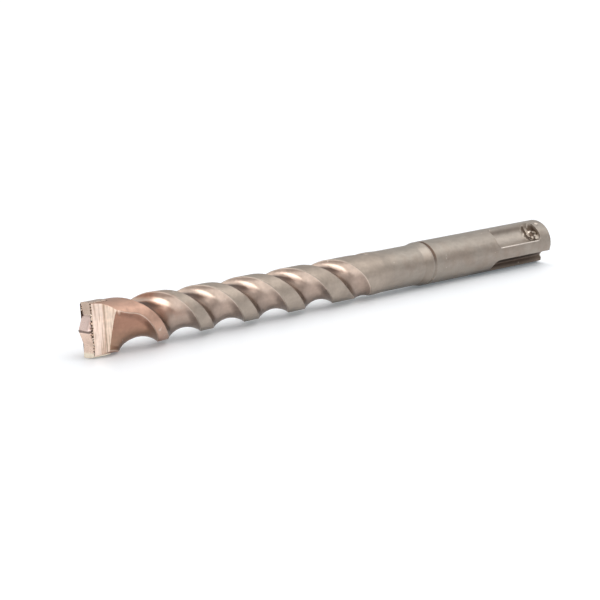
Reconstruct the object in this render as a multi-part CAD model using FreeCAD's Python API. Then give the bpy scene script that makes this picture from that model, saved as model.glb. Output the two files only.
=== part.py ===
import FreeCAD, Part
import math
import os

from FreeCAD import Vector

# Two-flute masonry drill bit with a grooved hammer-chuck shank, in millimetres.
# It lies along X: the carbide tip is at X = -length and the struck end of the shank is at X = 0.
# +Z is up, and the carbide plate stands nearly upright across the head.

# Overall sizes
length = 150.0
shank_d = 10.0
land_d = 9.55
head_d = 10.8
neck_d = 9.24
cutting_d = 11.2

# Shank, measured from the struck end
end_chamfer = 0.6
ring_from_end = 44.6
ring_width = 1.0
ring_depth = 0.22
collar_end = 45.6
collar_cone_length = 2.4
neck_length = 11.3

# Locking grooves: closed at both ends, held by the chuck's balls
lock_angle = 134.0
lock_radius = 3.5
lock_floor = 2.9
lock_rear = 4.3
lock_front = 21.0
lock_front_round = 1.6
lock_rear_round = 1.1

# Driving slots: open at the struck end, a quarter turn from the locking grooves
drive_width = 4.0
drive_floor = 3.25
drive_floor_width = 2.8
drive_length = 22.1
drive_corner = 0.4

# Small dent behind the upper locking groove
dent_radius = 1.3
dent_depth = 0.28
dent_from_end = 2.9
dent_angle = 117.0

# Twist of the flutes, measured from the tip
pitch_front = 24.7
pitch_rear = 31.1
twist_start = 2.0
twist_ease = 14.6

# What the flutes leave of the bar: its core, and the width of a land across the bar
core_head = 6.8
core_d = 6.7
land_width_head = 6.7
land_width_front = 3.3
land_width_rear = 5.4
opening_start = 7.0
opening_end = 12.5

# End of the flutes, where the grinding wheel lifts out of the bar just before the neck
run_out_wheel = 110.0
land_margin = 0.8
land_to_neck = 3.0
flute_step = 1.5
arc_overrun = 1.5

# Head, measured from the tip
head_length = 8.0
head_taper = 25.0
seam_setback = 1.15
bevel_break = 3.4
bevel_angle = 17.0
bevel_rear_angle = 43.0

# Carbide plate and the braze that holds it; the lean of plate and bevels moves their top towards +Y
plate_lean = 5.3
plate_thickness = 2.7
plate_length = 5.8
plate_corner = 0.35
point_height = 1.05
point_reach = 2.9
wing_rise = 0.25
wing_relief = 5.0
braze_gap = 0.14

# How far a cutter reaches past what it cuts, and how near two places count as one
overshoot = 1.0
same_place = 0.001

shank_r = shank_d / 2
land_r = land_d / 2
head_r = head_d / 2
neck_r = neck_d / 2
cutting_r = cutting_d / 2
tip_x = -length
seam_x = tip_x + seam_setback
plate_rear_x = tip_x + plate_length
far_r = max(shank_r, head_r, cutting_r) + overshoot
neck_x = -collar_end - collar_cone_length - neck_length
land_end_x = neck_x - land_to_neck
run_out_end = land_end_x - land_margin - tip_x
run_out_drop = run_out_wheel - (land_r - core_d / 2)
run_out_start = run_out_end - math.sqrt(run_out_wheel ** 2 - run_out_drop ** 2)


def about_axis(shape, degrees):
    """A copy of a shape turned about the bit's axis."""
    turned = shape.copy()
    turned.rotate(Vector(0, 0, 0), Vector(1, 0, 0), degrees)
    return turned


def leaning(shape, half_turn=0):
    """A copy of a shape of the head, turned to the plate's lean and if asked to the other side."""
    return about_axis(shape, half_turn - plate_lean)


def prism(points, travel):
    """A flat outline pushed along a vector."""
    return Part.Face(Part.makePolygon(points + points[:1])).extrude(travel)


def revolved(profile):
    """A solid turned about X from (x, radius) pairs."""
    outline = [Vector(x, 0, r) for x, r in profile]
    return Part.Face(Part.makePolygon(outline + outline[:1])).revolve(Vector(0, 0, 0), Vector(1, 0, 0), 360)


def smooth(value):
    """An S-shaped step from 0 to 1."""
    value = min(max(value, 0.0), 1.0)
    return value * value * (3 - 2 * value)


def fluted_blank():
    """The turned bar that the flutes are cut into: the head and the lands."""
    profile = [
        (seam_x, 0),
        (seam_x, head_r),
        (tip_x + head_length, head_r),
        (tip_x + head_length + head_taper, land_r),
        (land_end_x, land_r),
        (land_end_x, 0),
    ]
    return revolved(profile)


def shank_blank():
    """The rest of the turned bar: neck, collar and plain shank."""
    profile = [
        (land_end_x, 0),
        (land_end_x, land_r),
        (neck_x, neck_r),
        (-collar_end - collar_cone_length, neck_r),
        (-collar_end, shank_r),
        (-end_chamfer, shank_r),
        (0, shank_r - end_chamfer),
        (0, 0),
    ]
    return revolved(profile)


def twist(reach):
    """Angle of the land, in degrees from upright, at a distance from the tip.

    The land runs straight behind the plate, then eases into a right-hand helix that turns a little
    more slowly towards the shank.
    """
    run = max(reach - twist_start, 0.0)
    if run < twist_ease:
        eased = run ** 2 / (2 * twist_ease)
    else:
        eased = run - twist_ease / 2
    front_rate = 360 / pitch_front
    rear_rate = 360 / pitch_rear
    return front_rate * eased + (rear_rate - front_rate) * eased ** 2 / (2 * run_out_start)


def opened(reach):
    """How far the flutes have opened behind the head, from 0 to 1."""
    return smooth((reach - opening_start) / (opening_end - opening_start))


def bar_r(reach):
    """Radius of the turned bar, which tapers behind the head."""
    return head_r + (land_r - head_r) * min(max((reach - head_length) / head_taper, 0.0), 1.0)


def core_half(reach):
    """Half the thickness of the core at a distance from the tip."""
    return (core_head + (core_d - core_head) * opened(reach)) / 2


def land_half(reach):
    """Half the width of a land at a distance from the tip: narrow behind the head, wider at the rear."""
    growth = min(max((reach - opening_end) / (run_out_start - opening_end), 0.0), 1.0)
    width = land_width_front + (land_width_rear - land_width_front) * growth
    return (land_width_head + (width - land_width_head) * opened(reach)) / 2


def flute_section(reach):
    """The outline that the flute takes out at one station.

    Its floor is an arc over the core that meets the bar's surface at the two lands. Past the end of
    the full flute it rises as the wheel lifts.
    """
    edge = land_half(reach)
    across = math.sqrt(bar_r(reach) ** 2 - edge ** 2)
    half_arc = 2 * math.atan((core_half(reach) - edge) / across)
    radius = across / math.sin(half_arc)
    past = max(reach - run_out_start, 0.0)
    lift = run_out_wheel - math.sqrt(run_out_wheel ** 2 - past ** 2)
    floor = core_half(reach) + lift
    wide = radius * math.sin(arc_overrun * half_arc)
    rim = floor - radius * (1 - math.cos(arc_overrun * half_arc))
    x = tip_x + reach
    corners = [Vector(x, y, z) for y, z in ((wide, rim), (wide, 2 * far_r), (-wide, 2 * far_r), (-wide, rim))]
    edges = [Part.LineSegment(start, end).toShape() for start, end in zip(corners, corners[1:])]
    edges.append(Part.Arc(corners[-1], Vector(x, 0, floor), corners[0]).toShape())
    wire = Part.Wire(edges)
    wire.rotate(Vector(0, 0, 0), Vector(1, 0, 0), 90 + twist(reach))
    return wire


def flute():
    """One flute as the solid that is cut away, from ahead of the tip to where it has run out."""
    front = -overshoot
    rear = run_out_end + overshoot
    count = math.ceil((rear - front) / flute_step)
    stations = [front + (rear - front) * k / count for k in range(count + 1)]
    return Part.makeLoft([flute_section(reach) for reach in stations], True, False)


def head_bevel():
    """The two flats ground behind one edge of the plate, as the solid that is cut away."""
    start = plate_thickness / 2 + braze_gap
    middle = start + (bevel_break - seam_setback) * math.tan(math.radians(bevel_angle))
    rear = middle + far_r * math.tan(math.radians(bevel_rear_angle))
    points = [
        Vector(seam_x - overshoot, start, -far_r),
        Vector(seam_x, start, -far_r),
        Vector(tip_x + bevel_break, middle, -far_r),
        Vector(tip_x + bevel_break + far_r, rear, -far_r),
        Vector(tip_x + bevel_break + far_r, 2 * far_r, -far_r),
        Vector(seam_x - overshoot, 2 * far_r, -far_r),
    ]
    return prism(points, Vector(0, 0, 2 * far_r))


def plate_pocket(clearance):
    """The slot across the head, larger than the plate by a clearance at its sides and bottom."""
    half = plate_thickness / 2 + clearance
    depth = plate_length + clearance + overshoot
    return Part.makeBox(depth, 2 * half, 2 * far_r, Vector(tip_x - overshoot, -half, -far_r))


def ring_groove():
    """The shallow ring turned into the shank."""
    front = -ring_from_end - ring_width / 2
    rear = -ring_from_end + ring_width / 2
    rim = shank_r + overshoot
    floor = shank_r - ring_depth
    profile = [
        (front - overshoot, rim),
        (front, shank_r),
        (front + ring_depth, floor),
        (rear - ring_depth, floor),
        (rear, shank_r),
        (rear + overshoot, rim),
    ]
    return revolved(profile)


def end_circle(trough, x):
    """The round edge at one end of a trough."""
    circles = [edge for edge in trough.Edges if isinstance(edge.Curve, Part.Circle)]
    return [edge for edge in circles if abs(edge.CenterOfMass.x - x) < same_place]


def lock_groove():
    """One closed locking groove: a round-bottomed trough with rounded ends."""
    start = Vector(-lock_front, 0, lock_floor + lock_radius)
    trough = Part.makeCylinder(lock_radius, lock_front - lock_rear, start, Vector(1, 0, 0))
    trough = trough.makeFillet(lock_front_round, end_circle(trough, -lock_front))
    return trough.makeFillet(lock_rear_round, end_circle(trough, -lock_rear))


def drive_slot():
    """One driving slot: it narrows towards its rounded floor and ends in a half round."""
    rim = shank_r + overshoot
    slope = (drive_width - drive_floor_width) / 2 / (shank_r - drive_floor)
    rim_half = drive_width / 2 + slope * overshoot
    floor_half = drive_floor_width / 2
    centre_x = -drive_length + drive_width / 2
    section = [
        Vector(centre_x, -floor_half, drive_floor),
        Vector(centre_x, floor_half, drive_floor),
        Vector(centre_x, rim_half, rim),
        Vector(centre_x, -rim_half, rim),
    ]
    straight = prism(section, Vector(-centre_x + overshoot, 0, 0))
    end = Part.makeCone(floor_half, rim_half, rim - drive_floor, Vector(centre_x, 0, drive_floor), Vector(0, 0, 1))
    slot = straight.fuse(end).removeSplitter()
    low = [edge for edge in slot.Edges if edge.BoundBox.ZMax < drive_floor + same_place]
    corners = [edge for edge in low if edge.CenterOfMass.x < overshoot - same_place]
    return slot.makeFillet(drive_corner, corners)


def dent():
    """A small round dent behind the upper locking groove."""
    out = shank_r - dent_depth + dent_radius
    ball = Part.makeSphere(dent_radius, Vector(-dent_from_end, 0, out))
    return about_axis(ball, dent_angle - 90)


def drill_body():
    """The steel bit: one bar that is turned, fluted, bevelled, slotted and grooved."""
    front = fluted_blank()
    rear = shank_blank()
    for half_turn in (0, 180):
        front = front.cut(about_axis(flute(), half_turn))
        front = front.cut(leaning(head_bevel(), half_turn))
        rear = rear.cut(about_axis(lock_groove(), lock_angle - 90 + half_turn))
        rear = rear.cut(about_axis(drive_slot(), lock_angle + half_turn))
    front = front.cut(leaning(plate_pocket(braze_gap)))
    rear = rear.cut(ring_groove())
    rear = rear.cut(dent())
    return front.fuse(rear)


def point_cut():
    """What is ground off above the axis to leave the raised centre and the cutting wing."""
    wide = plate_thickness
    front = tip_x - 2 * overshoot
    rise = wing_rise * (far_r - point_reach) / (cutting_r - point_reach)
    near_face = [
        Vector(front, -wide, 0),
        Vector(tip_x, -wide, 0),
        Vector(tip_x + point_height, -wide, point_reach),
        Vector(tip_x + point_height - rise, -wide, far_r),
        Vector(front, -wide, far_r),
    ]
    lean = math.tan(math.radians(wing_relief)) * 2 * wide
    far_face = [p + Vector(lean * min(p.z / point_reach, 1), 2 * wide, 0) for p in near_face]
    wires = [Part.makePolygon(points + points[:1]) for points in (near_face, far_face)]
    return Part.makeLoft(wires, True, True)


def carbide_tip():
    """The carbide plate, with a raised centre, two wings and chamfered rear corners."""
    half = plate_thickness / 2
    disc = Part.makeCylinder(cutting_r, plate_length, Vector(tip_x, 0, 0), Vector(1, 0, 0))
    slab = Part.makeBox(plate_length, plate_thickness, 2 * far_r, Vector(tip_x, -half, -far_r))
    plate = disc.common(slab)
    rear_edges = [edge for edge in plate.Edges if edge.BoundBox.XMin > plate_rear_x - same_place]
    corners = [edge for edge in rear_edges if isinstance(edge.Curve, Part.Circle)]
    plate = plate.makeChamfer(plate_corner, corners)
    return leaning(plate.cut([point_cut(), about_axis(point_cut(), 180)]))


def braze_seam():
    """The braze that fills the slot round the plate's two sides and its bottom."""
    run = plate_length + braze_gap - seam_setback
    bar = Part.makeCylinder(head_r, run, Vector(seam_x, 0, 0), Vector(1, 0, 0))
    return bar.common(leaning(plate_pocket(braze_gap))).cut(leaning(plate_pocket(0)))


def write(parts):
    """One STEP file for each piece."""
    os.makedirs("parts", exist_ok=True)
    for name, shape in parts.items():
        shape.exportStep(os.path.join("parts", name + ".step"))
        print(name, "solids", len(shape.Solids), "valid", shape.isValid(), "volume", round(shape.Volume, 1))


write({"drill_body": drill_body(), "carbide_tip": carbide_tip(), "braze_seam": braze_seam()})
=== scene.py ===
import math
import random
from types import SimpleNamespace

import bpy
from mathutils import Matrix, Vector


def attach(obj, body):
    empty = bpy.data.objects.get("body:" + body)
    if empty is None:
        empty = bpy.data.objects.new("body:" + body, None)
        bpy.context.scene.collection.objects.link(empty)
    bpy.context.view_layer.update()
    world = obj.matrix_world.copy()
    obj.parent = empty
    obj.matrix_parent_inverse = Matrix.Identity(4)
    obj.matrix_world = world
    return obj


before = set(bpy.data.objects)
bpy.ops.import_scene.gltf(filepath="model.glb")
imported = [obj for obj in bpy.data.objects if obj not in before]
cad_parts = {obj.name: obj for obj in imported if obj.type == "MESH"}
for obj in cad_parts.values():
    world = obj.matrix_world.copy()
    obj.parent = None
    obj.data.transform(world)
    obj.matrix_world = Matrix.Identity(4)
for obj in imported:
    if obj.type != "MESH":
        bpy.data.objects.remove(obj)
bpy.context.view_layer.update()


def srgb(red, green, blue):
    """A colour as it shows on screen, turned into the linear values that the shaders take."""
    def linear(level):
        level /= 255
        return level / 12.92 if level <= 0.04045 else ((level + 0.055) / 1.055) ** 2.4
    return (linear(red), linear(green), linear(blue), 1.0)


MM = 0.001
TIP_X = -150.0

# The photograph's camera, in the frame of the bit
CAMERA_AT = (-483.02 * MM, -350.37 * MM, 91.61 * MM)
CAMERA_YAW = 41.402
CAMERA_PITCH = 10.1006
CAMERA_ROLL = -0.404
CAMERA_LENS = 150.0
CAMERA_CLIP = (0.01, 20.0)
SENSOR = 36.0

# The bit's own sizes that the materials and the lumps follow, in mm, with angles in radians.
# A reach is a distance from the tip along the axis.
HEAD_R = 5.4
LAND_R = 4.775
SHANK_R = 5.0
TAPER = (8.0, 33.0)
LANDS_TO_NECK = (87.7, 90.7)
NECK_STEP = 0.155
FLUTES_END = (89.7, 90.7)
SHANK_START = (104.0, 105.0)
RING_REACH = 105.4
LOCK_ANGLE = math.radians(134.0)
PLATE_LEAN = math.radians(5.3)
SEAM_Y = 1.42
SEAM_REACH = 1.15
CREASE_ANGLE = math.radians(22.0)

# Spans, each from where a mask starts to where it is full; a falling mask goes from full to nothing over one.
# Reaches, depths and heights are in mm, and a facing is the normal's part along the axis, below 0 towards
# the tip. A side is the product of the distances towards the upper groove and across from it, in mm2.
FLUTE_DEPTH = (0.06, 0.22)
EDGE_START, EDGE_END = (0.06, 0.11), (0.12, 0.26)
SLOT_DEPTH = (0.15, 0.9)
SLOT_FRONT, SLOT_REAR = (120.0, 121.0), (149.5, 149.9)
DRIVE_SECTOR = (0.0, 0.4)
CLOSED_REAR = (146.0, 147.0)
WORN_FRONT = (141.5, 143.5)
FAR_WALL_SIDE = (-3.0, -7.0)
RIM_SIDE, RIM_INNER, RIM_OUTER = (8.0, 9.0), (2.55, 2.68), (2.82, 2.96)
RIM_FRONT, RIM_REAR = (129.6, 130.4), (144.6, 145.2)
UNDERSIDE_FRONT, UNDERSIDE_HEIGHT = (120.0, 123.0), (-3.5, -4.1)
STRUCK_END = (149.6, 149.9)
# The ring groove's painted shade is full at the top and faint towards the bottom
RING_HALF, RING_HEIGHT, RING_FAINT = (0.35, 0.6), (-0.5, 2.8), 0.12
CONE_FRONT, CONE_REAR, CONE_HEIGHT = (101.8, 102.3), (104.2, 104.7), (4.4, 2.6)
REAR_WALL_FACING = (0.12, 0.55)
OPEN_FLUTE_FRONT = (11.0, 14.0)
SHADE_FACING, SHADE_HEIGHT = (-0.19, -0.07), (1.6, 2.8)
GLOW_FACING, GLOW_HEIGHT, GLOW_TOP = (-0.16, -0.28), (0.4, 2.4), (4.3, 3.5)
FLAT_FACING, FLAT_REAR = (-0.2, -0.27), (6.0, 6.6)
FLAT_BREAK = (2.4, 2.7)
NEAR_LINE = (2.38, 2.46), (2.52, 2.6)
FAR_LINE = (2.82, 2.88), (2.92, 2.98)
FAR_LINE_HEIGHT, FAR_LINE_FAINT = (-3.0, 1.0), 0.3

# The head's heat tint ends over a reach that wanders by some mm, and is deeper high in the flutes
TINT_END, TINT_WANDER = (16.5, 25.5), 2.5
TINT_HEIGHT = (-3.5, 1.0)
# The shank's colour starts over a reach, is darker where it was handled, and lighter towards the top as
# painted light
HANDLED_REACH = (84.0, 96.0)
HANDLED_RANGE = (0.25, 0.95)
CLEAN_TOP, CLEAN_SHARE = (0.5, 4.5), 0.6

# The steel's colours
LAND, LAND_TINTED = srgb(164, 151, 139), srgb(184, 149, 131)
FLUTE, FLUTE_TINTED_LOW, FLUTE_TINTED = srgb(162, 143, 131), srgb(166, 132, 110), srgb(156, 118, 100)
SHANK, SHANK_HANDLED = srgb(165, 156, 146), srgb(141, 128, 117)
CLOSED_GROOVE = srgb(180, 170, 160)
# Painted shade inside the open drive slots
DRIVE_SLOT = srgb(84, 70, 60)
# Painted shade in the ring groove
RING_MARK = srgb(88, 68, 56)
# The worn rear end of the closed groove: dark wear, with painted glints in the bright colour
WORN_DARK, WORN_BRIGHT = srgb(84, 68, 56), srgb(236, 224, 210)
# Painted shade on the closed groove's far wall
FAR_WALL = srgb(104, 90, 78)
# A painted highlight along the closed groove's near rim
NEAR_RIM = srgb(232, 222, 212)
# Painted shade on the underside of the shank's rear
UNDERSIDE = srgb(92, 80, 70)
# Painted shade on the flute walls that face the shank
REAR_WALL = srgb(92, 72, 58)
# Painted shade on the collar cone below its top
CONE = srgb(120, 106, 94)
FLUTE_SHADE = srgb(80, 60, 49)
FLUTE_GLOW = srgb(240, 216, 198)
# A painted highlight along the edges of the lands
LAND_EDGE = srgb(222, 205, 190)
FLAT_NEAR, FLAT_FAR, FLAT_STRIPE = srgb(245, 222, 207), srgb(243, 220, 201), srgb(204, 172, 150)
NEAR_LINE_COLOR, NEAR_LINE_SHARE = srgb(160, 134, 112), 0.8
FAR_LINE_COLOR, FAR_LINE_SHARE = srgb(170, 144, 118), 0.7
BURNISH, BURNISH_SHARE = srgb(208, 200, 190), 0.35
NICK, NICK_SHARE = srgb(225, 214, 202), 0.3

# Noises as scale, detail and, where it isn't even, the stretch along each axis
CLOUD = (260.0, 3.0)
MOTTLE = (1400.0, 3.0)
GRAIN = (6500.0, 2.0)
STREAK = (900.0, 3.0, (0.25, 1.0, 1.0))
GROUND_LINES = (3000.0, 2.0, (1.0, 0.6, 0.02))
GLINTS = (800.0, 1.0)
NICKS = (900.0, 1.0)
# Most of a noise's values lie in this span
USUAL = (0.3, 0.7)
GLINT_SPAN, BURNISH_SPAN, NICK_SPAN, STRIPE_SPAN = (0.47, 0.56), (0.42, 0.6), (0.75, 0.79), (0.36, 0.54)
STRIPE_SHARE = 0.85
CLOUD_SHADE, MOTTLE_SHADE, STREAK_SHADE = (0.92, 1.06), (0.94, 1.05), (0.95, 1.04)

# The steel's roughness and relief; the bump's full height is in mm
STEEL_ROUGHNESS, ROUGHNESS_SPAN, FLUTE_POLISH = (0.36, 0.48), (0.25, 0.75), 0.08
GRAIN_DEPTH = 0.02
GRAIN_SHARE, MOTTLE_SHARE = 0.35, 0.65
FLUTE_GRAIN = 0.12
# Where a flute is this deep, the bump hollows it by 0.6 mm more, counted here in full heights of the bump
DISH_DEPTH, DISH = 1.1, 0.6 / GRAIN_DEPTH
STEEL_EDGE = 0.16
BEVEL_SAMPLES = 6
METAL = 1.0

# The carbide: its colours from the top wing to the bottom one, with the heights between them. The bands below
# the top one are painted light and shade of the facets: a lit middle, a shaded lower band and a painted
# highlight at the bottom
PLATE_CLOUD, PLATE_GRAIN, PLATE_LINES = (700.0, 3.0), (5000.0, 2.0), (2200.0, 2.0, (0.2, 1.0, 0.1))
PLATE_TOP, PLATE_MIDDLE, PLATE_LOWER = srgb(192, 170, 154), srgb(255, 228, 218), srgb(230, 202, 184)
PLATE_BOTTOM = srgb(250, 236, 214)
TOP_HEIGHT, LOWER_HEIGHT, BOTTOM_HEIGHT = (2.4, 3.2), (-0.9, -0.2), (-4.9, -4.3)
# Painted shade in the crease along the chisel edge, between these heights
CHISEL_BELOW, CHISEL_ABOVE = (-0.62, -0.4), (-0.1, 0.12)
CHISEL, CHISEL_SHARE = srgb(84, 66, 54), 0.85
PLATE_STAIN, STAIN_SPAN, STAIN_SHARE = srgb(150, 122, 104), (0.45, 0.7), 0.22
PLATE_ROUGHNESS = (0.25, 0.35)
PLATE_GRAIN_SHARE = 0.5
PLATE_RELIEF, PLATE_EDGE = 0.015, 0.1

# The braze, and its lumps as count, sizes in mm, how far they stand out in mm and the seed
BRAZE_SPECKS, BRAZE_RELIEF = (2600.0, 2.0), (3000.0, 3.0)
SPECK_SPAN = (0.48, 0.56)
BRAZE_METALLIC = 0.9
BRAZE_ROUGHNESS = (0.3, 0.55)
BRAZE_DEPTH = 0.06
SEAM_DARK, SEAM_LIGHT = srgb(74, 54, 44), srgb(150, 110, 88)
DARK_LUMPS = (44, (0.13, 0.22), 0.06, 3)
DARK_LUMP_DARK, DARK_LUMP_LIGHT = srgb(58, 42, 36), srgb(96, 74, 62)
BRIGHT_LUMPS = (34, (0.10, 0.19), 0.22, 7)
BRIGHT_LUMP_DARK, BRIGHT_LUMP_LIGHT = srgb(226, 196, 172), srgb(255, 246, 232)
LUMPS_BOTTOM, LUMPS_HEIGHT = -4.9, 9.9
FAR_SIDE_SUNK = -0.14
LUMP_STRAY_OUT, LUMP_STRAY_BACK = (-0.05, 0.07), (-0.05, 0.03)
LUMP_SHAPE = ((0.6, 0.9), (0.6, 1.0), (0.9, 1.5))
LUMP_RINGS, LUMP_AROUND = 5, 8

# The floor touches the lowest corner of the plate and the end of the shank.
# Its heights are in mm and its half width in m.
FLOOR_AT_TIP = -5.6
FLOOR_AT_END = -5.0
FLOOR_HALF = 4.0
PAPER_DARK, PAPER_LIGHT = srgb(244, 245, 247), srgb(250, 250, 251)
PAPER_NOISE = (30.0, 3.0)
SHEEN_ROUGHNESS, SHEEN_SHARE = 0.32, 0.2
LIFT_COLOR, LIFT_STRENGTH = srgb(232, 246, 255), 0.15

# The light: what camera and reflections see fades to the horizon's strength, away from the sky's way,
# and everything else is lit by a soft window and by the key lamp
SKY_WAY, SKY_SPAN, HORIZON = (-0.2, -0.4, 0.9), (-0.2, 0.8), 0.56
WINDOW_WAY, WINDOW_SPAN = (0.62, 0.38, 0.68), (0.6, 1.0)
ROOM_STRENGTH, WINDOW_STRENGTH = 0.15, 2.6
KEY_WAY = (0.24, -0.46, 0.82)
KEY_STRENGTH = 1.4
KEY_SPREAD = math.radians(58.0)
WHITE = (1.0, 1.0, 1.0, 1.0)

# Which sockets of a Mix node are its factor, its two colours and its colour result, as their names repeat
MIX_INPUTS, MIX_RESULT = (0, 6, 7), 2


class Nodes:
    """Adds nodes to one tree and wires them; a socket or a plain value can go into each input."""

    def __init__(self, tree):
        self.tree = tree
        tree.nodes.clear()

    def add(self, kind, inputs=None, **settings):
        """A new node with its settings, and its inputs fed by name."""
        node = self.tree.nodes.new(kind)
        for name, value in settings.items():
            setattr(node, name, value)
        for name, value in (inputs or {}).items():
            self.feed(node.inputs[name], value)
        return node

    def feed(self, socket, value):
        """Link a socket to another one, or set its own value."""
        if isinstance(value, bpy.types.NodeSocket):
            self.tree.links.new(value, socket)
        else:
            socket.default_value = value

    def math(self, operation, *values):
        node = self.add("ShaderNodeMath", operation=operation)
        for socket, value in zip(node.inputs, values):
            self.feed(socket, value)
        return node.outputs[0]

    def ramp(self, value, span, levels=(0.0, 1.0), kind="SMOOTHSTEP"):
        """A value that goes from the first level to the second over a span, and stays there outside it."""
        node = self.add("ShaderNodeMapRange", interpolation_type=kind)
        for socket, item in zip(node.inputs, (value, *span, *levels)):
            self.feed(socket, item)
        return node.outputs[0]

    def fall(self, value, span):
        """A mask that drops from 1 to 0 over a span."""
        return self.ramp(value, span, (1.0, 0.0))

    def both(self, *masks):
        """Where all the masks hold: their product."""
        result = masks[0]
        for mask in masks[1:]:
            result = self.math("MULTIPLY", result, mask)
        return result

    def mix(self, factor, under, over, blend="MIX"):
        node = self.add("ShaderNodeMix", data_type="RGBA", blend_type=blend)
        for place, value in zip(MIX_INPUTS, (factor, under, over)):
            self.feed(node.inputs[place], value)
        return node.outputs[MIX_RESULT]

    def lay(self, under, mask, share, over):
        """A colour laid over another where a mask holds, by a share of its own at the most."""
        return self.mix(self.math("MULTIPLY", mask, share), under, over)

    def noise(self, at, scale, detail, stretch=None):
        if stretch:
            at = self.add("ShaderNodeMapping", {"Vector": at, "Scale": stretch}).outputs[0]
        return self.add("ShaderNodeTexNoise", {"Vector": at, "Scale": scale, "Detail": detail}).outputs[0]

    def along(self, vector, way):
        """How far a vector points one way: 1 is straight that way and 0 is across it."""
        node = self.add("ShaderNodeVectorMath", operation="DOT_PRODUCT")
        self.feed(node.inputs[0], vector)
        self.feed(node.inputs[1], way)
        return node.outputs["Value"]

    def turned(self, one, other, angle, operation="SUBTRACT"):
        """One coordinate after a turn about the axis, from a point's two coordinates across the axis."""
        near = self.math("MULTIPLY", one, math.cos(angle))
        return self.math(operation, near, self.math("MULTIPLY", other, math.sin(angle)))

    def place(self):
        """A point's coordinates, its distances from the tip and the axis in mm, and its facing."""
        coords = self.add("ShaderNodeTexCoord")
        at = coords.outputs["Object"]
        parts = self.add("ShaderNodeSeparateXYZ", {"Vector": at})
        x, y, z = [self.math("DIVIDE", out, MM) for out in parts.outputs]
        facing = self.add("ShaderNodeSeparateXYZ", {"Vector": coords.outputs["Normal"]})
        across = self.math("ADD", self.math("POWER", y, 2.0), self.math("POWER", z, 2.0))
        return SimpleNamespace(
            at=at, y=y, z=z, reach=self.math("SUBTRACT", x, TIP_X),
            radius=self.math("POWER", across, 0.5), facing=facing.outputs[0])

    def surface(self, color, metallic, roughness, height, depth, edge=0.0):
        """The finished shader, with a bump whose full height is the depth and edges rounded, both in mm."""
        shader = self.add(
            "ShaderNodeBsdfPrincipled", {"Base Color": color, "Metallic": metallic, "Roughness": roughness})
        bump = self.add("ShaderNodeBump", {"Height": height, "Strength": 1.0, "Distance": depth * MM})
        if edge:
            bevel = self.add("ShaderNodeBevel", {"Radius": edge * MM}, samples=BEVEL_SAMPLES)
            self.feed(bump.inputs["Normal"], bevel.outputs[0])
        self.feed(shader.inputs["Normal"], bump.outputs[0])
        self.add("ShaderNodeOutputMaterial", {"Surface": shader.outputs[0]})

    def seen_rays(self):
        """1 for the rays that see the background, which are camera, glossy and transmission rays."""
        rays = self.add("ShaderNodeLightPath").outputs
        seen = self.math("MAXIMUM", rays["Is Camera Ray"], rays["Is Glossy Ray"])
        return self.math("MAXIMUM", seen, rays["Is Transmission Ray"])


def new_material(name):
    """A material with an empty node tree."""
    material = bpy.data.materials.new(name)
    material.use_nodes = True
    return material, Nodes(material.node_tree)


def flute_masks(n, p, m):
    """Masks of the fluted stretch: flutes, edges that carry a painted highlight, rear walls that carry painted
    shade, painted shade and glow high in the flutes, and the flats of the head.
    """
    bar = n.ramp(p.reach, TAPER, (HEAD_R, LAND_R), "LINEAR")
    bar = n.math("SUBTRACT", bar, n.ramp(p.reach, LANDS_TO_NECK, (0.0, NECK_STEP), "LINEAR"))
    m.depth = n.math("SUBTRACT", bar, p.radius)
    m.fluted = n.fall(p.reach, FLUTES_END)
    m.flute = n.both(n.ramp(m.depth, FLUTE_DEPTH), m.fluted)
    m.edge = n.both(n.ramp(m.depth, EDGE_START), n.fall(m.depth, EDGE_END), m.fluted)
    m.rear_wall = n.both(n.ramp(p.facing, REAR_WALL_FACING), m.flute)
    open_flute = n.both(m.flute, n.ramp(p.reach, OPEN_FLUTE_FRONT))
    m.shade = n.both(n.ramp(p.facing, SHADE_FACING), n.ramp(p.z, SHADE_HEIGHT), open_flute)
    m.glow = n.both(
        n.ramp(p.facing, GLOW_FACING), n.ramp(p.z, GLOW_HEIGHT), n.ramp(p.z, GLOW_TOP), open_flute)
    m.flat = n.both(n.ramp(p.facing, FLAT_FACING), n.fall(p.reach, FLAT_REAR))


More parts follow.
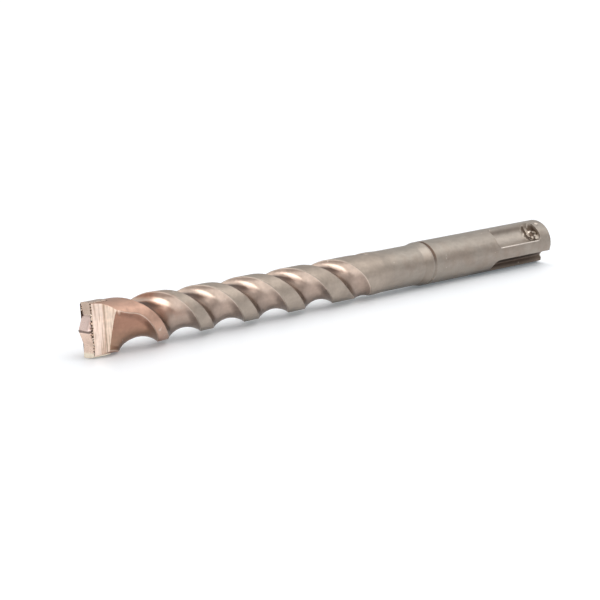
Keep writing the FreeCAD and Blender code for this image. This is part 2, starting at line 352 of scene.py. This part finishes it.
def shank_masks(n, p, m):
    """Masks of the shank: grooves, slots, the worn end of a groove with painted glints, the groove's far wall
    and the underside for painted shade, its near rim for a painted highlight, ring and collar cone for painted
    shade, and struck face.
    """
    sunk = n.math("SUBTRACT", SHANK_R, p.radius)
    slot = n.both(
        n.ramp(sunk, SLOT_DEPTH), n.ramp(p.reach, SHANK_START), n.ramp(p.reach, SLOT_FRONT),
        n.fall(p.reach, SLOT_REAR))
    towards = n.turned(p.y, p.z, LOCK_ANGLE, "ADD")
    across = n.turned(p.z, p.y, LOCK_ANGLE)
    off = n.math("ABSOLUTE", across)
    m.driving = n.both(slot, n.ramp(n.math("SUBTRACT", off, n.math("ABSOLUTE", towards)), DRIVE_SECTOR))
    m.closed = n.both(n.math("SUBTRACT", slot, m.driving), n.fall(p.reach, CLOSED_REAR))
    m.worn_end = n.both(m.closed, n.ramp(p.reach, WORN_FRONT))
    side = n.math("MULTIPLY", across, towards)
    m.far_wall = n.both(m.closed, n.ramp(side, FAR_WALL_SIDE))
    rim = n.both(n.ramp(side, RIM_SIDE), n.ramp(off, RIM_INNER), n.fall(off, RIM_OUTER))
    m.near_rim = n.both(rim, n.ramp(p.reach, RIM_FRONT), n.fall(p.reach, RIM_REAR))
    m.underside = n.both(n.ramp(p.reach, UNDERSIDE_FRONT), n.ramp(p.z, UNDERSIDE_HEIGHT))
    m.struck = n.ramp(p.reach, STRUCK_END)
    off_ring = n.math("ABSOLUTE", n.math("SUBTRACT", p.reach, RING_REACH))
    m.ring = n.both(n.fall(off_ring, RING_HALF), n.ramp(p.z, RING_HEIGHT, (RING_FAINT, 1.0)))
    m.cone = n.both(n.ramp(p.reach, CONE_FRONT), n.fall(p.reach, CONE_REAR), n.ramp(p.z, CONE_HEIGHT))


def ground_flat(n, p, stripes):
    """The colour of the flats beside the plate: pale, with ground lines and two darker lines along it."""
    off_plate = n.math("ABSOLUTE", n.turned(p.y, p.z, PLATE_LEAN))
    color = n.mix(n.ramp(off_plate, FLAT_BREAK), FLAT_NEAR, FLAT_FAR)
    color = n.mix(n.ramp(stripes, STRIPE_SPAN, (STRIPE_SHARE, 0.0)), color, FLAT_STRIPE)
    near = n.both(n.ramp(off_plate, NEAR_LINE[0]), n.fall(off_plate, NEAR_LINE[1]))
    fading = n.ramp(p.z, FAR_LINE_HEIGHT, (1.0, FAR_LINE_FAINT))
    far = n.both(n.ramp(off_plate, FAR_LINE[0]), n.fall(off_plate, FAR_LINE[1]), fading)
    color = n.lay(color, near, NEAR_LINE_SHARE, NEAR_LINE_COLOR)
    return n.lay(color, far, FAR_LINE_SHARE, FAR_LINE_COLOR)


def steel():
    """Blasted tool steel: coppery at the head, brown in the flutes, grey-beige on lands and shank, with
    painted shade, highlights and glints laid over it.
    """
    material, n = new_material("steel")
    p = n.place()
    m = SimpleNamespace()
    flute_masks(n, p, m)
    shank_masks(n, p, m)
    cloud = n.noise(p.at, *CLOUD)
    mottle = n.noise(p.at, *MOTTLE)
    stripes = n.noise(p.at, *GROUND_LINES)

    wander = n.ramp(cloud, USUAL, (-TINT_WANDER, TINT_WANDER))
    tint = n.fall(n.math("ADD", p.reach, wander), TINT_END)
    land = n.mix(tint, LAND, LAND_TINTED)
    floor_tinted = n.mix(n.ramp(p.z, TINT_HEIGHT), FLUTE_TINTED_LOW, FLUTE_TINTED)
    color = n.mix(m.flute, land, n.mix(tint, FLUTE, floor_tinted))
    # Painted light: the shank's darker colour gives way towards its top
    clean = n.ramp(p.z, CLEAN_TOP, (0.0, CLEAN_SHARE))
    handled = n.math("SUBTRACT", n.ramp(cloud, USUAL, HANDLED_RANGE), clean)
    color = n.mix(n.ramp(p.reach, HANDLED_REACH), color, n.mix(handled, SHANK, SHANK_HANDLED))
    worn = n.mix(n.ramp(n.noise(p.at, *GLINTS), GLINT_SPAN), WORN_DARK, WORN_BRIGHT)
    # Each mask, the most of its colour that shows, and the colour, from the lowest layer up
    for mask, share, over in (
        (m.closed, 0.7, CLOSED_GROOVE),
        # painted shade in the open drive slots
        (m.driving, 0.9, DRIVE_SLOT),
        # painted shade in the ring groove, darker at the top
        (m.ring, 0.85, RING_MARK),
        # the worn end of the closed groove, with painted glints
        (m.worn_end, 0.9, worn),
        # painted shade on the closed groove's far wall
        (m.far_wall, 0.6, FAR_WALL),
        # painted highlight on the closed groove's near rim
        (m.near_rim, 0.9, NEAR_RIM),
        # painted shade under the shank's rear
        (m.underside, 0.7, UNDERSIDE),
        # painted shade on the flutes' rear walls
        (m.rear_wall, 0.7, REAR_WALL),
        # painted shade on the collar cone
        (m.cone, 0.28, CONE),
        (m.shade, 0.88, FLUTE_SHADE),
        (m.glow, 0.6, FLUTE_GLOW),
        # painted highlight along the land edges
        (m.edge, 0.6, LAND_EDGE),
    ):
        color = n.lay(color, mask, share, over)
    color = n.mix(m.flat, color, ground_flat(n, p, stripes))
    color = n.lay(color, n.both(m.struck, n.ramp(mottle, BURNISH_SPAN)), BURNISH_SHARE, BURNISH)
    shade = n.both(
        n.ramp(cloud, USUAL, CLOUD_SHADE), n.ramp(mottle, USUAL, MOTTLE_SHADE),
        n.ramp(n.noise(p.at, *STREAK), USUAL, STREAK_SHADE))
    grey = n.add("ShaderNodeCombineColor", {"Red": shade, "Green": shade, "Blue": shade}).outputs[0]
    color = n.mix(1.0, color, grey, "MULTIPLY")
    color = n.lay(color, n.ramp(n.noise(p.at, *NICKS), NICK_SPAN), NICK_SHARE, NICK)

    rough = n.ramp(mottle, ROUGHNESS_SPAN, STEEL_ROUGHNESS)
    rough = n.math("SUBTRACT", rough, n.math("MULTIPLY", m.flute, FLUTE_POLISH))
    grain = n.math("MULTIPLY", n.noise(p.at, *GRAIN), GRAIN_SHARE)
    height = n.math("ADD", grain, n.math("MULTIPLY", mottle, MOTTLE_SHARE))
    height = n.math("MULTIPLY", height, n.ramp(m.flute, (0.0, 1.0), (1.0, FLUTE_GRAIN), "LINEAR"))
    height = n.math("ADD", height, n.both(m.flat, stripes))
    dish = n.ramp(m.depth, (0.0, DISH_DEPTH), (0.0, DISH))
    height = n.math("SUBTRACT", height, n.both(dish, m.fluted, n.math("SUBTRACT", 1.0, m.flat)))
    n.surface(color, METAL, rough, height, GRAIN_DEPTH, STEEL_EDGE)
    return material


def carbide():
    """The hard plate: ground and heat-tinted, greyer at the top wing, with painted light and shade in bands by
    height: lit and pinker in the middle, shaded below it, and a painted highlight at the bottom.
    """
    material, n = new_material("carbide")
    p = n.place()
    cloud = n.noise(p.at, *PLATE_CLOUD)
    color = n.mix(n.ramp(p.z, TOP_HEIGHT), PLATE_MIDDLE, PLATE_TOP)
    color = n.mix(n.fall(p.z, LOWER_HEIGHT), color, PLATE_LOWER)
    color = n.mix(n.fall(p.z, BOTTOM_HEIGHT), color, PLATE_BOTTOM)
    # Painted shade along the chisel edge's crease
    chisel = n.both(n.ramp(p.z, CHISEL_BELOW), n.fall(p.z, CHISEL_ABOVE))
    color = n.lay(color, chisel, CHISEL_SHARE, CHISEL)
    color = n.mix(n.ramp(cloud, STAIN_SPAN, (0.0, STAIN_SHARE)), color, PLATE_STAIN)
    grain = n.math("MULTIPLY", n.noise(p.at, *PLATE_GRAIN), PLATE_GRAIN_SHARE)
    height = n.math("ADD", grain, n.noise(p.at, *PLATE_LINES))
    n.surface(color, METAL, n.ramp(cloud, USUAL, PLATE_ROUGHNESS), height, PLATE_RELIEF, PLATE_EDGE)
    return material


def braze(name, dark, light):
    """Copper braze: dark and oxidised with bright specks."""
    material, n = new_material(name)
    at = n.place().at
    speck = n.ramp(n.noise(at, *BRAZE_SPECKS), SPECK_SPAN)
    height = n.noise(at, *BRAZE_RELIEF)
    n.surface(
        n.mix(speck, dark, light), BRAZE_METALLIC, n.ramp(height, USUAL, BRAZE_ROUGHNESS), height, BRAZE_DEPTH)
    return material


def link(obj):
    """Put an object into the scene."""
    bpy.context.scene.collection.objects.link(obj)
    return obj


def camera():
    """A long lens, a little above the bit and turned as the photograph's was."""
    data = bpy.data.cameras.new("camera")
    data.lens = CAMERA_LENS
    data.sensor_width = SENSOR
    data.sensor_fit = "HORIZONTAL"
    data.clip_start, data.clip_end = CAMERA_CLIP
    obj = link(bpy.data.objects.new("camera", data))
    yaw = math.radians(CAMERA_YAW)
    pitch = math.radians(CAMERA_PITCH)
    forward = Vector((math.cos(pitch) * math.cos(yaw), math.cos(pitch) * math.sin(yaw), -math.sin(pitch)))
    level = forward.to_track_quat("-Z", "Y").to_matrix()
    roll = Matrix.Rotation(math.radians(CAMERA_ROLL), 3, "Z")
    obj.rotation_euler = (level @ roll).to_euler()
    obj.location = CAMERA_AT
    bpy.context.scene.camera = obj


def add_mesh(name, verts, faces, material, smooth=True):
    """A new mesh object in the scene."""
    mesh = bpy.data.meshes.new(name)
    mesh.from_pydata(verts, [], faces)
    mesh.materials.append(material)
    for polygon in mesh.polygons:
        polygon.use_smooth = smooth
    return link(bpy.data.objects.new(name, mesh))


def floor():
    """A pale bench that keeps the bit's shadow and shows white to the camera."""
    slope = (FLOOR_AT_END - FLOOR_AT_TIP) / -TIP_X
    verts = []
    for x, y in ((-1, -1), (1, -1), (1, 1), (-1, 1)):
        height = FLOOR_AT_END * MM + slope * x * FLOOR_HALF
        verts.append((x * FLOOR_HALF, y * FLOOR_HALF, height))
    material, n = new_material("bench")
    paper = n.mix(n.noise(n.place().at, *PAPER_NOISE), PAPER_DARK, PAPER_LIGHT)
    matt = n.add("ShaderNodeBsdfDiffuse", {"Color": paper})
    sheen = n.add("ShaderNodeBsdfGlossy", {"Color": paper, "Roughness": SHEEN_ROUGHNESS})
    plain = n.add("ShaderNodeMixShader", {"Fac": SHEEN_SHARE})
    n.feed(plain.inputs[1], matt.outputs[0])
    n.feed(plain.inputs[2], sheen.outputs[0])
    lift = n.add("ShaderNodeEmission", {"Color": LIFT_COLOR, "Strength": LIFT_STRENGTH})
    lifted = n.add("ShaderNodeAddShader")
    n.feed(lifted.inputs[0], plain.outputs[0])
    n.feed(lifted.inputs[1], lift.outputs[0])
    shown = n.add("ShaderNodeMixShader", {"Fac": n.seen_rays()})
    n.feed(shown.inputs[1], plain.outputs[0])
    n.feed(shown.inputs[2], lifted.outputs[0])
    n.add("ShaderNodeOutputMaterial", {"Surface": shown.outputs[0]})
    add_mesh("bench", verts, [(0, 1, 2, 3)], material, smooth=False)


def key():
    """A large soft lamp that shines from one way over the whole bench."""
    data = bpy.data.lights.new("key", "SUN")
    data.energy = KEY_STRENGTH
    data.angle = KEY_SPREAD
    lamp = link(bpy.data.objects.new("key", data))
    lamp.rotation_euler = Vector(KEY_WAY).to_track_quat("Z", "Y").to_euler()


def surroundings():
    """White overhead for the camera and for reflections, and a soft window that lights everything else."""
    world = bpy.data.worlds.new("world")
    bpy.context.scene.world = world
    world.use_nodes = True
    n = Nodes(world.node_tree)
    way = n.add("ShaderNodeTexCoord").outputs["Generated"]
    overhead = n.ramp(n.along(way, SKY_WAY), SKY_SPAN, (HORIZON, 1.0))
    window = n.ramp(n.along(way, WINDOW_WAY), WINDOW_SPAN, (ROOM_STRENGTH, WINDOW_STRENGTH))
    strength = n.ramp(n.seen_rays(), (0.0, 1.0), (window, overhead), "LINEAR")
    sky = n.add("ShaderNodeBackground", {"Color": WHITE, "Strength": strength})
    n.add("ShaderNodeOutputWorld", {"Surface": sky.outputs[0]})


def lump(centre, radii, turn):
    """One rounded lump as vertices and faces: a pole, rings of vertices and the other pole."""
    verts = [centre + turn @ Vector((0, 0, radii[2]))]
    for ring in range(1, LUMP_RINGS):
        down = math.pi * ring / LUMP_RINGS
        for step in range(LUMP_AROUND):
            around = 2 * math.pi * step / LUMP_AROUND
            local = Vector((
                radii[0] * math.sin(down) * math.cos(around),
                radii[1] * math.sin(down) * math.sin(around),
                radii[2] * math.cos(down)))
            verts.append(centre + turn @ local)
    verts.append(centre + turn @ Vector((0, 0, -radii[2])))

    def at(ring, step):
        return 1 + ring * LUMP_AROUND + step % LUMP_AROUND

    steps = range(LUMP_AROUND)
    end = LUMP_RINGS - 2
    faces = [(0, at(0, step), at(0, step + 1)) for step in steps]
    for ring in range(end):
        for step in steps:
            faces.append((at(ring, step), at(ring + 1, step), at(ring + 1, step + 1), at(ring, step + 1)))
    faces += [(len(verts) - 1, at(end, step + 1), at(end, step)) for step in steps]
    return verts, faces


def lumps(name, material, count, sizes, out, seed):
    """Lumps of braze that stand along the seam on both sides of the plate, prouder on the near side."""
    chance = random.Random(seed)
    lean = Matrix.Rotation(-PLATE_LEAN, 3, "X")
    verts, faces = [], []
    for k in range(count):
        side = -1 if k % 2 else 1
        z = LUMPS_BOTTOM + LUMPS_HEIGHT * (k + chance.random()) / count
        proud = out if side < 0 else FAR_SIDE_SUNK
        y = side * (SEAM_Y + proud + chance.uniform(*LUMP_STRAY_OUT))
        x = TIP_X + SEAM_REACH - proud + chance.uniform(*LUMP_STRAY_BACK)
        size = chance.uniform(*sizes) * MM
        radii = [size * chance.uniform(*share) for share in LUMP_SHAPE]
        turn = Matrix.Rotation(chance.uniform(0, math.pi), 3, "X")
        lump_verts, lump_faces = lump(lean @ Vector((x, y, z)) * MM, radii, turn)
        start = len(verts)
        verts += lump_verts
        faces += [tuple(start + i for i in face) for face in lump_faces]
    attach(add_mesh(name, verts, faces, material), "root")


finishes = {
    "drill_body": steel(),
    "carbide_tip": carbide(),
    "braze_seam": braze("braze_seam", SEAM_DARK, SEAM_LIGHT),
}
for name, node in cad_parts.items():
    node.data.materials.clear()
    node.data.materials.append(finishes[name])
    split = node.modifiers.new("edges", "EDGE_SPLIT")
    split.split_angle = CREASE_ANGLE

lumps("braze_lumps_dark", braze("braze_dark", DARK_LUMP_DARK, DARK_LUMP_LIGHT), *DARK_LUMPS)
lumps("braze_lumps_bright", braze("braze_bright", BRIGHT_LUMP_DARK, BRIGHT_LUMP_LIGHT), *BRIGHT_LUMPS)

floor()
camera()
surroundings()
key()
bpy.context.scene.view_settings.view_transform = "Standard"
